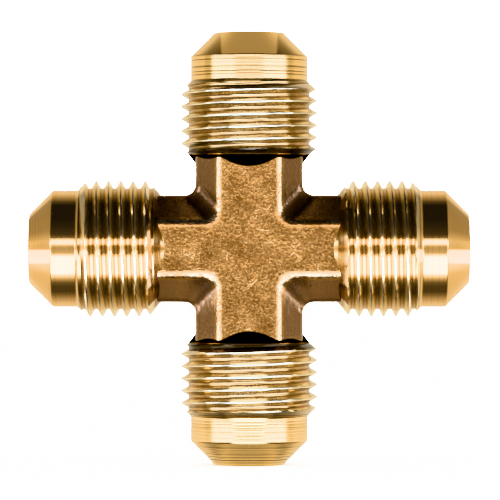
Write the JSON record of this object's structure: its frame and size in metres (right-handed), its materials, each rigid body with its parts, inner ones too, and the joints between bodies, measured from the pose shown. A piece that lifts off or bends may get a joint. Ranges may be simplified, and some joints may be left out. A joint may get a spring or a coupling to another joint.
{
  "type": "flare cross fitting",
  "caption": "Brass cross fitting: a forged four-way body with a male threaded 45 degree flare end on each arm and open passages crossing in the middle.",
  "frame": {"origin": "where the axes of the two flow passages cross, in the middle of the body", "axes": "+X along the run, +Z along the branch, +Y from the front pad to the back pad"},
  "size_m": [0.0508, 0.0158, 0.0498],
  "materials": {
    "forged_brass": "as-forged, fine matt grain, golden brown",
    "machined_brass": "bright turned, fine lines round the axis"
  },
  "bodies": {
    "root": {"forged_hub": "forged_brass", "left_flare_end": "machined_brass", "right_flare_end": "machined_brass", "upper_flare_end": "machined_brass", "lower_flare_end": "machined_brass"}
  },
  "joints": []
}
